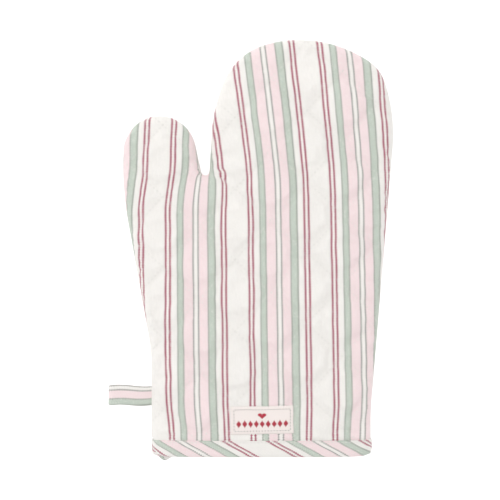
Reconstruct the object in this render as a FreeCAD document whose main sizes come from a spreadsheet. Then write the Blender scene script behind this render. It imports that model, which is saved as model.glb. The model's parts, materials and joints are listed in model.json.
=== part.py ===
"""A quilted oven mitt lying flat on its back, made as the separate pieces it is sewn from.

X runs across the cuff, Y from the cuff to the fingertips, Z up. The origin is at the bottom
centre of the mitt's box. Every panel is a layer between two skins that follow one envelope,
so the layers lie on each other with no gap. The panels are split at the two folds, where the
fingers and the thumb bend towards the palm.
"""

import FreeCAD, Part
import math
import os

document = FreeCAD.newDocument("oven_mitt")

# ---------------------------------------------------------------- driving dimensions (mm, degrees)

SIZES = {
    "mitt_length": 300.0,
    "cuff_left": -71.25,         # X of the left side of the cuff
    "envelope_depth": 26.0,      # both panels and the hand space, lying flat
    "edge_radius": 12.0,         # rounding of the envelope's rim
    "tail_length": 20.0,         # envelope drawn on past the hem, then cut off there
    # layers, from the outside in
    "fabric_thick": 0.8,
    "wadding_thick": 4.0,
    "lining_thick": 0.5,
    "thread_thick": 0.35,
    "thread_width": 0.7,
    # side seam
    "seam_gap": 0.5,
    "seam_thread_inset": 3.0,
    "allowance_reach": 10.5,     # from the envelope's side to the raw edge of the allowance
    "allowance_thick": 3.0,
    "overlock_width": 0.5,
    # cuff binding
    "binding_width": 13.6,
    "binding_tuck": 0.8,         # how far the panel runs on under the binding's edge
    "binding_inside": 12.0,
    "binding_stitch_inset": 1.6,
    # folds
    "zone_gap": 0.5,
    "finger_fold_y": 68.0,
    "fingers_left": -33.5,       # a line in the notch, between the thumb and the fingers
    "thumb_fold_x": -44.0,       # where the thumb's fold meets the level of the crotch
    "thumb_fold_y": 53.0,
    "thumb_fold_lean": 19.3,     # from the Y axis towards +X
    "thumb_fold_up": 37.0,       # how far the thumb's zone runs on past that point
    "thumb_fold_down": 130.0,
    # quilting diamonds
    "quilt_cross_x": 39.9,
    "quilt_cross_y": 98.0,
    "quilt_fall_angle": -41.8,
    "quilt_fall_pitch": 37.7,
    "quilt_rise_angle": 47.5,
    "quilt_rise_pitch": 34.2,
    # label
    "label_length": 44.7,
    "label_width": 19.9,
    "label_thick": 0.7,
    "label_x": 8.4,
    "label_y": -121.7,
    "label_turn": 1.3,
    "label_stitch_inset": 2.3,
    "label_stitch_pitch": 2.1,
    "label_stitch_length": 1.3,
    # hanging loop
    "loop_y": -105.5,            # middle of the tape
    "loop_width": 14.4,
    "loop_reach": 31.6,          # from the side of the cuff to the end of the loop
    "loop_tape": 1.6,            # the folded tape's thickness
    "loop_hole": 6.4,            # inside height of the loop at its round end
    "loop_clear": 0.3,           # between the loop's root and the side of the cuff
    "loop_slit": 0.16,           # inside radius of the loop at its root
}

# The outline, walked from the left of the hem round to the right: runs, and arcs of a radius
# and a turn in degrees, left turns positive. The turns add up to -180.
OUTLINE = [
    ("cuff_side", "run", 64.0, 0.0),
    ("wrist_left", "arc", 130.0, 10.2),
    ("thumb_root", "run", 84.0, 0.0),
    ("thumb_back", "arc", 224.0, -13.0),
    ("thumb_tip", "arc", 26.5, -165.1),
    ("thumb_inner", "run", 20.0, 0.0),
    ("crotch", "arc", 2.57, 164.7),
    ("finger_inner", "run", 26.0, 0.0),
    ("finger_side", "arc", 116.0, -19.6),
    ("shoulder_left", "arc", 46.7, -51.8),
    ("crown", "arc", 90.0, -48.7),
    ("shoulder_right", "arc", 32.0, -39.8),
    ("little_finger", "arc", 124.0, -21.7),
    ("palm_side", "run", 180.0, 0.0),
    ("wrist_right", "arc", 211.0, 4.8),
]

sheet = document.addObject("Spreadsheet::Sheet", "sizes")
rows = list(SIZES.items())
for name, kind, size, turn in OUTLINE:
    rows.append((name + "_" + kind, size))
    if kind == "arc":
        rows.append((name + "_turn", turn))
for row, (alias, value) in enumerate(rows, start=1):
    sheet.set(f"A{row}", alias)
    sheet.set(f"B{row}", str(value))
    sheet.setAlias(f"B{row}", alias)
document.recompute()


def size(alias):
    """A driving dimension, as the sheet has it."""
    return float(sheet.get(alias))


HEM = -size("mitt_length") / 2
MIDDLE = size("envelope_depth") / 2
FAR = 400.0                      # longer than the mitt, for the cutting blocks
OVER = 1.0                       # how far a block runs on past what it cuts
TINY = 0.001                     # less than any real size
QUILT_REACH = 8                  # quilted lines of a family on each side of the middle one

# ---------------------------------------------------------------- small helpers


def bind(thing, **expressions):
    """Ties an object's properties to expressions on the sheet."""
    for prop, expression in expressions.items():
        thing.setExpression(prop, expression)
    return thing


def block(name, low, high, **expressions):
    """A cutting block between two corners; a side with an expression is tied to the sheet."""
    made = document.addObject("Part::Box", name)
    made.Placement.Base = FreeCAD.Vector(*low)
    made.Length = high[0] - low[0]
    made.Width = high[1] - low[1]
    made.Height = high[2] - low[2]
    return bind(made, **expressions)


def cut(name, base, tool):
    """What is left of base outside tool."""
    made = document.addObject("Part::Cut", name)
    made.Base = base
    made.Tool = tool
    return made


def common(name, base, tool):
    """What base and tool share."""
    made = document.addObject("Part::Common", name)
    made.Base = base
    made.Tool = tool
    return made


def fuse(name, pieces):
    """Several objects as one solid."""
    made = document.addObject("Part::MultiFuse", name)
    made.Shapes = pieces
    return made


# ---------------------------------------------------------------- the envelope and its skins


def outline_edges():
    """The outline as lines and arcs in the XY plane, closed below the hem."""
    x = size("cuff_left")
    y = HEM - size("tail_length")
    heading = math.radians(90)
    start = FreeCAD.Vector(x, y, 0)
    edges = []
    for name, kind, _, _ in OUTLINE:
        amount = size(name + "_" + kind)
        here = FreeCAD.Vector(x, y, 0)
        if kind == "run":
            if not edges:
                amount += size("tail_length")
            x += amount * math.cos(heading)
            y += amount * math.sin(heading)
            edges.append(Part.LineSegment(here, FreeCAD.Vector(x, y, 0)))
            continue
        turn = math.radians(size(name + "_turn"))
        radius = math.copysign(amount, turn)
        centre_x = x - radius * math.sin(heading)
        centre_y = y + radius * math.cos(heading)
        on_arc = []
        for part in (0.5, 1.0):
            aim = heading + part * turn
            on_arc.append((centre_x + radius * math.sin(aim), centre_y - radius * math.cos(aim)))
        x, y = on_arc[1]
        heading += turn
        edges.append(Part.Arc(here, FreeCAD.Vector(*on_arc[0], 0), FreeCAD.Vector(x, y, 0)))
    corner = FreeCAD.Vector(x, start.y, 0)
    edges.append(Part.LineSegment(FreeCAD.Vector(x, y, 0), corner))
    edges.append(Part.LineSegment(corner, start))
    return edges


def make_envelope():
    """The whole mitt as one rounded solid, which every layer is cut from."""
    body = document.addObject("PartDesign::Body", "envelope")
    plane = [item for item in body.Origin.OriginFeatures if item.Role == "XY_Plane"][0]
    sketch = body.newObject("Sketcher::SketchObject", "mitt_outline")
    sketch.AttachmentSupport = (plane, "")
    sketch.MapMode = "FlatFace"
    sketch.addGeometry(outline_edges(), False)
    pad = body.newObject("PartDesign::Pad", "envelope_pad")
    pad.Profile = sketch
    bind(pad, Length="sizes.envelope_depth")
    document.recompute()
    rim = []
    for number, edge in enumerate(pad.Shape.Edges, start=1):
        box = edge.BoundBox
        if box.ZLength < TINY and box.YMax > HEM - size("tail_length") + TINY:
            rim.append(f"Edge{number}")
    rounding = body.newObject("PartDesign::Fillet", "envelope_rounding")
    rounding.Base = (pad, rim)
    bind(rounding, Radius="sizes.edge_radius")
    document.recompute()
    return body


envelope = make_envelope()


def skin(name, depth):
    """The envelope's surface moved inwards by an expression on the sheet."""
    made = document.addObject("Part::Offset", name)
    made.Source = envelope
    made.Join = 2
    return bind(made, Value=f"-({depth})")


thread_skin = skin("thread_skin", "sizes.thread_thick")
under_fabric = skin("under_fabric", "sizes.fabric_thick")
under_tuck = skin("under_tuck", "sizes.fabric_thick * 2")
seam_thread_outer = skin("seam_thread_outer", "sizes.seam_thread_inset")
seam_thread_inner = skin("seam_thread_inner", "sizes.seam_thread_inset + sizes.thread_width")
under_wadding = skin("under_wadding", "sizes.fabric_thick + sizes.wadding_thick")
under_lining = skin("under_lining", "sizes.fabric_thick + sizes.wadding_thick + sizes.lining_thick")
under_binding = skin(
    "under_binding", "sizes.fabric_thick * 2 + sizes.wadding_thick + sizes.lining_thick"
)

# ---------------------------------------------------------------- zones that the panels are cut to


def make_zones():
    """The spaces of the hand, the fingers and the thumb, a small gap apart."""
    gap = size("zone_gap") / 2
    low, high = -OVER, size("envelope_depth") + OVER
    fold_y = size("finger_fold_y")
    left = size("fingers_left")
    fingers = block("fingers_zone", (left, fold_y + gap, low), (FAR, FAR, high))
    fingers_out = block("fingers_clear", (left, fold_y - gap, low), (FAR, FAR, high))
    thumbs = []
    for name, edge in (("thumb_zone", -gap), ("thumb_clear", gap)):
        run = size("thumb_fold_down") + size("thumb_fold_up")
        made = block(
            name, (0, 0, low), (FAR, run, high), Width="sizes.thumb_fold_down + sizes.thumb_fold_up"
        )
        turn = FreeCAD.Rotation(FreeCAD.Vector(0, 0, 1), -size("thumb_fold_lean"))
        fold = FreeCAD.Vector(size("thumb_fold_x"), size("thumb_fold_y"), low)
        corner = FreeCAD.Vector(edge - FAR, -size("thumb_fold_down"), 0)
        made.Placement = FreeCAD.Placement(fold + turn.multVec(corner), turn)
        thumbs.append(made)
    whole = block("hand_block", (-FAR, HEM - OVER, low), (FAR, FAR, high))
    hand = cut("hand_zone", cut("hand_without_fingers", whole, fingers_out), thumbs[1])
    return {"hand": hand, "fingers": fingers, "thumb": thumbs[0]}


zones = make_zones()
half_gap = size("seam_gap") / 2
sides = {
    "front": block("front_half", (-FAR, -FAR, MIDDLE + half_gap), (FAR, FAR, FAR)),
    "back": block("back_half", (-FAR, -FAR, -FAR), (FAR, FAR, MIDDLE - half_gap)),
}

# ---------------------------------------------------------------- blocks along the cuff

hem_fold = HEM + size("fabric_thick")
binding_edge = HEM + size("binding_width")
past_hem = block("past_hem", (-FAR, hem_fold, -FAR), (FAR, FAR, FAR))
past_binding = block("past_binding", (-FAR, binding_edge, -FAR), (FAR, FAR, FAR))
on_binding = block("on_binding", (-FAR, HEM, -FAR), (FAR, binding_edge, FAR), Width="sizes.binding_width")
on_hem_fold = block("on_hem_fold", (-FAR, HEM, -FAR), (FAR, hem_fold, FAR), Width="sizes.fabric_thick")
binding_end = HEM + size("binding_inside")
inside_cuff = block("inside_cuff", (-FAR, HEM, -FAR), (FAR, binding_end, FAR), Width="sizes.binding_inside")
tuck_end = binding_edge + size("binding_tuck")
under_cuff = block("under_cuff", (-FAR, hem_fold, -FAR), (FAR, tuck_end, FAR))
allowance_start = binding_end + OVER

# ---------------------------------------------------------------- quilting


def make_quilting():
    """Thin upright plates in two crossing families, met with the envelope's outermost skin."""
    width = size("thread_width")
    cross = FreeCAD.Vector(size("quilt_cross_x"), size("quilt_cross_y"), -OVER)
    plates = []
    for family in ("fall", "rise"):
        angle = size(f"quilt_{family}_angle")
        pitch = size(f"quilt_{family}_pitch")
        turn = FreeCAD.Rotation(FreeCAD.Vector(0, 0, 1), angle)
        for step in range(-QUILT_REACH, QUILT_REACH + 1):
            plate = block(
                f"quilt_{family}_{step + QUILT_REACH}",
                (0, 0, 0),
                (2 * FAR, width, size("envelope_depth")),
                Width="sizes.thread_width",
                Height=f"sizes.envelope_depth + {2 * OVER}",
            )
            start = FreeCAD.Vector(-FAR, step * pitch - width / 2, 0)
            plate.Placement = FreeCAD.Placement(cross + turn.multVec(start), turn)
            plates.append(plate)
    lattice = fuse("quilt_lattice", plates)
    surface = cut("thread_layer", envelope, thread_skin)
    return common("quilting", common("quilt_lines", surface, lattice), past_binding)


quilting = make_quilting()

# ---------------------------------------------------------------- layers of the panels

tuck = common("tuck", cut("tuck_layer", under_fabric, under_tuck), under_cuff)
fabric = common("fabric_above_binding", cut("fabric_layer", envelope, under_fabric), past_binding)
layers = {
    "outer": fuse("outer_layer", [cut("fabric_grooved", fabric, quilting), tuck]),
    "wadding": common(
        "wadding_layer",
        cut("wadding_cut", cut("wadding_all", under_fabric, under_wadding), tuck),
        past_hem,
    ),
    "lining": common("lining_layer", cut("lining_all", under_wadding, under_lining), past_hem),
    "quilting": quilting,
}

nodes = []


def keep(thing, label):
    """Gives a finished piece its name and puts it in the list of what is written."""
    thing.Label = label
    nodes.append(thing)
    return thing


for side, half in sides.items():
    for layer, whole in layers.items():
        panel = common(f"{side}_{layer}", whole, half)
        for zone, space in zones.items():
            keep(common(f"cut_{side}_{layer}_{zone}", panel, space), f"{side}_{layer}_{zone}")

# ---------------------------------------------------------------- side seam


def seam_ring(name, outer, inner, thick):
    """A flat ring round the inside of the side seam, of a thickness centred on the seam."""
    half = thick / 2
    level = block(f"{name}_level", (-FAR, allowance_start, MIDDLE - half), (FAR, FAR, MIDDLE + half))
    return common(name, cut(f"{name}_around", outer, inner), level)


allowance_inner = skin("allowance_inner", "sizes.allowance_reach")
overlock_inner = skin("overlock_inner", "sizes.allowance_reach + sizes.overlock_width")
seam_rings = {
    "seam_stitching": seam_ring("seam_stitch_ring", seam_thread_outer, seam_thread_inner, size("seam_gap")),
    "seam_allowance": seam_ring("allowance_ring", under_lining, allowance_inner, size("allowance_thick")),
    "seam_overlock": seam_ring("overlock_ring", allowance_inner, overlock_inner, size("allowance_thick")),
}
for ring_name, ring in seam_rings.items():
    for zone, space in zones.items():
        keep(common(f"cut_{ring_name}_{zone}", ring, space), f"{ring_name}_{zone}")

# ---------------------------------------------------------------- cuff binding

wrapped = common("binding_outside", cut("binding_skin", envelope, under_fabric), on_binding)
folded = common("binding_hem", cut("binding_hem_all", envelope, under_binding), on_hem_fold)
inner_face = common("binding_inside_face", cut("binding_inner", under_lining, under_binding), inside_cuff)
stitch_low = binding_edge - size("binding_stitch_inset")
stitch_high = stitch_low + size("thread_width")
stitch_row = block(
    "stitch_row", (-FAR, stitch_low, -FAR), (FAR, stitch_high, FAR), Width="sizes.thread_width"
)
row_skin = cut("binding_thread_skin", envelope, thread_skin)
binding_stitching = common("binding_thread", row_skin, stitch_row)
binding = cut("binding_strip", fuse("binding_whole", [wrapped, folded, inner_face]), binding_stitching)
keep(binding, "cuff_binding")
keep(binding_stitching, "binding_stitching")

# ---------------------------------------------------------------- label


def on_label(name, sides, along, across, base):
    """A block on the label, its sides tied to the sheet, placed from the label's middle."""
    length, width, height = (size(alias) for alias in sides)
    ties = {prop: f"sizes.{alias}" for prop, alias in zip(("Length", "Width", "Height"), sides)}
    made = block(name, (0, 0, 0), (length, width, height), **ties)
    turn = FreeCAD.Rotation(FreeCAD.Vector(0, 0, 1), size("label_turn"))
    middle = FreeCAD.Vector(size("label_x"), size("label_y"), base)
    corner = FreeCAD.Vector(along - length / 2, across - width / 2, 0)
    made.Placement = FreeCAD.Placement(middle + turn.multVec(corner), turn)
    return made


def make_label():
    """The woven label and the short stitches that hold it down, sunk flush into it."""
    top = size("envelope_depth")
    inset = size("label_stitch_inset")
    pitch = size("label_stitch_pitch")
    stitch = size("label_stitch_length")
    plate = on_label("label_plate", ("label_length", "label_width", "label_thick"), 0, 0, top)
    half_length, half_width = size("label_length") / 2 - inset, size("label_width") / 2 - inset
    base = top + size("label_thick") - size("thread_thick")
    lying = ("label_stitch_length", "thread_thick", "thread_thick")
    standing = ("thread_thick", "label_stitch_length", "thread_thick")
    stitches = []
    for sides, half, other_half in ((lying, half_length, half_width), (standing, half_width, half_length)):
        count = int((2 * half - stitch) // pitch)
        for step in range(count + 1):
            place = (step - count / 2) * pitch
            for end in (-other_half, other_half):
                along, across = (place, end) if sides is lying else (end, place)
                stitches.append(on_label(f"label_stitch_{len(stitches)}", sides, along, across, base))
    row = document.addObject("Part::Compound", "label_thread")
    row.Links = stitches
    return cut("label_cloth", plate, row), row


label, label_stitching = make_label()
keep(label, "label")
keep(label_stitching, "label_stitching")

# ---------------------------------------------------------------- hanging loop


def make_loop():
    """A tape folded back on itself: two legs from the seam that open into a round end."""
    tape = size("loop_tape")
    root_x = size("cuff_left") - size("loop_clear") - tape
    end_x = size("cuff_left") - size("loop_reach")
    bulb = size("loop_hole") / 2 + tape
    bulb_x = end_x + bulb
    reach = root_x - bulb_x

    def teardrop(root_radius, bulb_radius):
        """Two circles joined by their outer tangents, as a closed wire across the tape."""
        lean = math.asin((bulb_radius - root_radius) / reach)
        points = []
        for centre, radius in ((root_x, root_radius), (bulb_x, bulb_radius)):
            up = FreeCAD.Vector(centre + radius * math.sin(lean), 0, MIDDLE + radius * math.cos(lean))
            points.append((up, FreeCAD.Vector(up.x, 0, 2 * MIDDLE - up.z)))
        (root_up, root_down), (bulb_up, bulb_down) = points
        nose = FreeCAD.Vector(root_x + root_radius, 0, MIDDLE)
        tail = FreeCAD.Vector(bulb_x - bulb_radius, 0, MIDDLE)
        return Part.Wire([
            Part.LineSegment(root_up, bulb_up).toShape(),
            Part.Arc(bulb_up, tail, bulb_down).toShape(),
            Part.LineSegment(bulb_down, root_down).toShape(),
            Part.Arc(root_down, nose, root_up).toShape(),
        ])

    ring = Part.Face(teardrop(tape, bulb)).cut(Part.Face(teardrop(size("loop_slit"), bulb - tape)))
    made = document.addObject("Part::Feature", "loop_tape")
    made.Shape = ring.extrude(FreeCAD.Vector(0, size("loop_width"), 0))
    made.Placement.Base = FreeCAD.Vector(0, size("loop_y") - size("loop_width") / 2, 0)
    return made


keep(make_loop(), "hanging_loop")

# ---------------------------------------------------------------- check and write

document.recompute()
for thing in document.Objects:
    if "Invalid" in thing.State or "Error" in thing.State:
        raise RuntimeError(f"{thing.Name} failed: {thing.State}")
for thing in nodes:
    if thing.Shape.isNull() or not thing.Shape.isValid() or not thing.Shape.Solids:
        raise RuntimeError(f"{thing.Label} has no valid solid")

os.makedirs("parts", exist_ok=True)
for thing in nodes:
    thing.Shape.exportStep(f"parts/{thing.Label}.step")
    print(f"{thing.Label}: {len(thing.Shape.Solids)} solids, {thing.Shape.Volume:.0f} mm3")
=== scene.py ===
"""Quilted oven mitt: striped cotton panels over wadding, bound cuff, label and hanging loop."""

import functools
import json
import math

import bpy
import numpy as np
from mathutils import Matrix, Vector, geometry, kdtree
from mathutils.bvhtree import BVHTree


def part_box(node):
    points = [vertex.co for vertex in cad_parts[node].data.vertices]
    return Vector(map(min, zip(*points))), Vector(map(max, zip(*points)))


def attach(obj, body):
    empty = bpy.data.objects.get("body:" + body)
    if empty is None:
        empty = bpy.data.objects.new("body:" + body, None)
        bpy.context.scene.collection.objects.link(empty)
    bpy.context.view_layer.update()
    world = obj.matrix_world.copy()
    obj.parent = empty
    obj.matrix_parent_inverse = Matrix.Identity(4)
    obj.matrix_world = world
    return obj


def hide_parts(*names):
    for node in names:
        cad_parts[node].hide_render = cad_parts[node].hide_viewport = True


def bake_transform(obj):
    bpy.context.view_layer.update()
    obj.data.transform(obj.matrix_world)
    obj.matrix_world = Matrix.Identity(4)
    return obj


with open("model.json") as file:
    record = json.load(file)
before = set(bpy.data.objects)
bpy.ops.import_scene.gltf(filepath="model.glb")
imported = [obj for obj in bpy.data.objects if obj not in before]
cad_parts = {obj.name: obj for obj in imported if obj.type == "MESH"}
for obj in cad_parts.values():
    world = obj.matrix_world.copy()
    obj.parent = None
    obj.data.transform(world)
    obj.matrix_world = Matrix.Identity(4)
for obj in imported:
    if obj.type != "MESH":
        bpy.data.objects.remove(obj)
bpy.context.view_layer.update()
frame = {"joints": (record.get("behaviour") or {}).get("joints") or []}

bl_info = {
    "name": "Quilted oven mitt",
    "version": (1, 0, 0),
    "blender": (4, 5, 0),
    "location": "3D View > Sidebar > Oven Mitt",
    "description": "Sews a quilted oven mitt piece by piece and sets it on a plain stage",
    "category": "Add Mesh",
}

MM = 0.001

# ---------------------------------------------------------------- sizes from the frame (mm)

BINDING_BOX = np.array(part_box("cuff_binding")) / MM
LABEL_BOX = np.array(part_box("label")) / MM
LOOP_BOX = np.array(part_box("hanging_loop")) / MM
HEM = BINDING_BOX[0][1]
CUFF_LEFT = BINDING_BOX[0][0]
SEAM_LEVEL = (BINDING_BOX[0][2] + BINDING_BOX[1][2]) / 2
BINDING_EDGE = BINDING_BOX[1][1]
JOINTS = {joint["name"]: joint for joint in frame["joints"]}

# The outline from the left of the hem round to the right: runs, and arcs of a radius and a turn.
OUTLINE = [
    ("run", 64.0), ("arc", 130.0, 10.2), ("run", 84.0), ("arc", 224.0, -13.0), ("arc", 26.5, -165.1),
    ("run", 20.0), ("arc", 2.57, 164.7), ("run", 26.0), ("arc", 116.0, -19.6), ("arc", 46.7, -51.8),
    ("arc", 90.0, -48.7), ("arc", 32.0, -39.8), ("arc", 124.0, -21.7), ("run", 180.0), ("arc", 211.0, 4.8),
]

# The quilting's diamonds: a crossing, and the angle and pitch of each family of lines.
QUILT_CROSS = np.array([39.9, 98.0])
QUILT_FAMILIES = [(-41.8, 37.7), (47.5, 34.2)]

# The stripes across one repeat (mm from the left of the first crimson line), each colour from its start.
REPEAT = 59.35
STRIPES = [
    (0.0, "crimson"), (1.35, "ground"), (2.95, "crimson"), (4.3, "ground"), (8.35, "edge"), (9.15, "green"),
    (12.6, "edge"), (13.4, "pink"), (19.9, "grey"), (20.65, "ground"), (23.4, "grey"), (24.15, "pink"),
    (30.2, "edge"), (31.0, "green"), (35.2, "edge"), (36.0, "ground"), (39.95, "crimson"), (41.3, "ground"),
    (42.95, "crimson"), (44.3, "ground"),
]

# Where the first crimson line crosses the wrist; below the fingers the stripes stand nearly upright.
FIRST_LINE_X, WRIST_Y = -60.8, -65.7

# The creases that run down from the crotch: points in plan, the side that rolls over (1 for the left of the
# way along, -1 for the right), and how far the stripes on that side have slid beside the crease.
CREASES = [
    ([(-35.8, 53.9), (-39.0, 51.6), (-44.7, 48.2)], -1, 2.0),
    ([(-28.6, 53.9), (-23.7, 52.9), (-20.6, 50.5), (-17.0, 47.4), (-9.6, 39.1)], 1, -1.5),
]

# The label: how wide and how high it is, how far it is turned, its thickness and how far in it is stitched.
LABEL_WIDE, LABEL_HIGH, LABEL_TURN, LABEL_THICK, LABEL_INSET = 44.7, 19.9, math.radians(1.3), 0.7, 2.3

# How many rounds even out the cloth under the label, and how far it is pressed in there.
LABEL_EVENED, LABEL_PRESS = 200, 0.3

# How uneven the wadding leaves the cloth.
UNEVEN = 0.35

# A crease's depth, how high the roll beside it stands and how far that slides over it.
CREASE_DEPTH, CREASE_ROLL, CREASE_SLIDE = 2.6, 0.9, 0.9

# How far the cloth pulls in at the seam, and over what depth; and how far it steps down under the binding.
SEAM_PULL, SEAM_PULL_DEPTH, BINDING_STEP = 0.5, 0.35, 0.5

# The back's cloth: its height over the front's, how high its lowest part lies, how much higher that is
# under the binding, and the width of the bend where it comes to lie flat.
BACK_SHARE, BACK_LOW, BACK_LIFT, BACK_BEND = 1.06, 0.45, 0.75, 0.5

# How thick the layers stay where the binding squeezes them.
SQUEEZED = 0.82

# How far the binding stands in from the side of the cuff at its left end.
BINDING_INSET = 1.3

# How far the hem is drawn up all round, how much more on the front, and at the cuff's two corners.
HEM_GATHER, HEM_RISE, CORNER_RISE = 1.3, 1.5, 3.0

# The pressure that swells the cloth, how many frames it acts and how far a point may move.
PUFF_PRESSURE, PUFF_FRAMES, PUFF_CAP = 3.0, 20, 1.1

# The radius of the quilting's thread and of the finer thread of the seams.
QUILT_THREAD, SEAM_THREAD = 0.25, 0.22

# ---------------------------------------------------------------- settings


def measure(name, description, default):
    """A property for a length in metres."""
    return bpy.props.FloatProperty(name=name, description=description, default=default, unit="LENGTH")


class MittSizes(bpy.types.PropertyGroup):
    """How the cloth is shaped; every length is in metres."""

    cloth_step: measure("Cloth step", "Spacing of the points in the cloth", 0.0020)
    rim_round: measure("Rim rounding", "Radius of each panel's edge at the seam", 0.0066)
    crown: measure("Crown", "How far a panel rises from its rim to its middle", 0.0058)
    crown_reach: measure("Crown reach", "How far in from the seam the crown is reached", 0.046)
    groove: measure("Groove", "Depth of a quilted line in the wadding", 0.0011)
    groove_width: measure("Groove width", "Half width of a quilted line's valley", 0.0050)
    fabric: measure("Fabric", "Thickness of the striped cotton", 0.0008)
    wadding: measure("Wadding", "Thickness of the wadding", 0.0040)
    lining: measure("Lining", "Thickness of the lining", 0.0005)
    stitch_pitch: measure("Stitch pitch", "From one quilting stitch to the next", 0.0032)
    stitch_length: measure("Stitch length", "Length of thread that shows in a stitch", 0.0017)


def colour(name, description, default):
    """A colour property."""
    return bpy.props.FloatVectorProperty(
        name=name, description=description, subtype="COLOR", size=4, min=0, max=1, default=(*default, 1)
    )


class MittColours(bpy.types.PropertyGroup):
    """Colours of the yarns, the tapes and the threads."""

    ground: colour("Ground", "Off-white ground of the cotton", (0.86, 0.835, 0.80))
    pink: colour("Pink", "Pale pink stripe", (0.87, 0.71, 0.72))
    green: colour("Green", "Sage green stripe", (0.51, 0.575, 0.50))
    edge: colour("Green edge", "Darker line along each green stripe", (0.25, 0.28, 0.235))
    grey: colour("Grey", "Thin grey line", (0.26, 0.26, 0.235))
    crimson: colour("Crimson", "Thin crimson line", (0.35, 0.045, 0.10))
    thread: colour("Thread", "Off-white sewing thread", (0.77, 0.755, 0.72))
    lining: colour("Lining", "Undyed cotton of the lining", (0.80, 0.76, 0.69))
    wadding: colour("Wadding", "Fibre wadding", (0.82, 0.81, 0.78))
    label: colour("Label", "Cream twill of the label", (0.90, 0.825, 0.79))
    label_thread: colour("Label thread", "Thread round the label", (0.26, 0.25, 0.22))
    motif: colour("Motif", "Red thread of the label's motif", (0.50, 0.045, 0.07))


# ---------------------------------------------------------------- small maths


def smooth(value):
    """A smooth step from 0 to 1."""
    t = np.clip(value, 0, 1)
    return t * t * (3 - 2 * t)


def soft_ramp(value, width):
    """Zero below 0 and the value itself above, with a soft bend of a width between."""
    return width * np.logaddexp(0, np.asarray(value) / width)


def hump(value, middle, width):
    """A smooth hump round a middle, 1 high."""
    return np.exp(-(((value - middle) / width) ** 2))


def unit(rows):
    """Each row brought to a length of 1."""
    return rows / np.maximum(np.linalg.norm(rows, axis=1, keepdims=True), 1e-12)


def travelled(line):
    """How far along a line each of its points is."""
    return np.concatenate([[0], np.cumsum(np.linalg.norm(np.diff(line, axis=0), axis=1))])


def sampled(places, travel, values):
    """Rows of values at places along a line, where travel says how far along each row is."""
    return np.column_stack([np.interp(places, travel, column) for column in values.T])


def sides_of(triangles):
    """The three sides of every triangle, as pairs of points."""
    return np.concatenate([triangles[:, pair] for pair in ([0, 1], [1, 2], [2, 0])])


def crossed(points, triangles):
    """The cross product of two sides of each triangle, which is twice its area."""
    first, second, third = (points[triangles[:, corner]] for corner in range(3))
    return np.cross(second - first, third - first)


def facing_out(triangles, side):
    """A panel's triangles, turned to face out of the mitt on the front or the back."""
    return triangles if side == "front" else triangles[:, ::-1]


def ring_faces(count, around):
    """Faces between a count of rings, each closed on itself, and a cap at each end."""
    faces = []
    for ring in range(count - 1):
        low, high = ring * around, (ring + 1) * around
        for corner in range(around):
            after = (corner + 1) % around
            faces.append((low + corner, high + corner, high + after, low + after))
    last = count * around - 1
    return [*faces, tuple(range(around)), tuple(range(last, last - around, -1))]


def ripple(points, scale, seed):
    """A smooth uneven field over plan points, from a few crossing waves; it stays within -1 and 1."""
    x, y = points[:, 0] / scale, points[:, 1] / scale
    total = np.zeros(len(points))
    for wave in range(6):
        angle = 2.4 * wave + 0.7 * seed
        stretch = 1 + 0.37 * wave
        along = math.cos(angle) * x + math.sin(angle) * y
        total += np.sin(stretch * along + 1.7 * wave * seed + seed) / 6
    return total


def nearest(samples, points):
    """For each plan point, the number of the nearest sample."""
    tree = kdtree.KDTree(len(samples))
    for number, (x, y) in enumerate(samples):
        tree.insert((x, y, 0), number)
    tree.balance()
    return np.array([tree.find((x, y, 0))[1] for x, y in points])


# ---------------------------------------------------------------- the cut of a panel


def walk_outline(step):
    """Points round the mitt at about an even step, and the way out of the mitt at each."""
    x, y, heading = CUFF_LEFT, HEM, math.radians(90)
    points, headings = [(x, y)], [heading]
    for kind, amount, *turn in OUTLINE:
        turn = math.radians(turn[0]) if turn else 0.0
        length = amount * abs(turn) if kind == "arc" else amount
        count = max(2, math.ceil(length / step))
        for part in range(1, count + 1):
            if kind == "run":
                travel = length * part / count
                points.append((x + travel * math.cos(heading), y + travel * math.sin(heading)))
                headings.append(heading)
                continue
            radius = math.copysign(amount, turn)
            aim = heading + turn * part / count
            across = radius * (math.sin(aim) - math.sin(heading))
            up = radius * (math.cos(heading) - math.cos(aim))
            points.append((x + across, y + up))
            headings.append(aim)
        x, y = points[-1]
        heading = headings[-1]
    count = max(2, math.ceil((y - HEM) / step))
    for part in range(1, count + 1):
        points.append((x, y + (HEM - y) * part / count))
        headings.append(heading)
    points, headings = np.array(points), np.array(headings)
    return points, np.stack([-np.sin(headings), np.cos(headings)], axis=1)


def fold_of_thumb():
    """A point on the thumb's fold, the way along it and the way across it to the thumb (mm, plan)."""
    joint = JOINTS["thumb_fold"]
    along = np.array(joint["axis"][:2])
    along /= np.linalg.norm(along)
    return np.array(joint["pos_m"][:2]) / MM, along, np.array([-along[1], along[0]])


@functools.cache
def crotch():
    """The bottom of the notch between the thumb and the fingers."""
    fine, _ = walk_outline(0.25)
    middle, _, _ = fold_of_thumb()
    beside = fine[np.abs(fine[:, 0] - middle[0] - 12) < 2.5]
    return beside[np.argmin(np.abs(beside[:, 1] - middle[1]))]


def thumb_reach():
    """How far the line where the thumb's pieces begin is from the thumb's fold."""
    middle, _, across = fold_of_thumb()
    return (middle - crotch()) @ across


def thumb_side(points):
    """How far plan points are past the line where the thumb's pieces begin, which runs through the crotch."""
    middle, _, across = fold_of_thumb()
    return (points - middle) @ across + thumb_reach()


def in_thumb(points):
    """Whether plan points belong to the thumb's pieces."""
    low = points[:, 1] <= crotch()[1]
    return np.where(low, thumb_side(points) > 0, points[:, 0] < crotch()[0])


def wander(points):
    """A small sideways drift of the quilted lines."""
    return 0.7 * np.stack([ripple(points, 17.0, 3.0), ripple(points, 21.0, 5.0)], axis=1)


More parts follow.
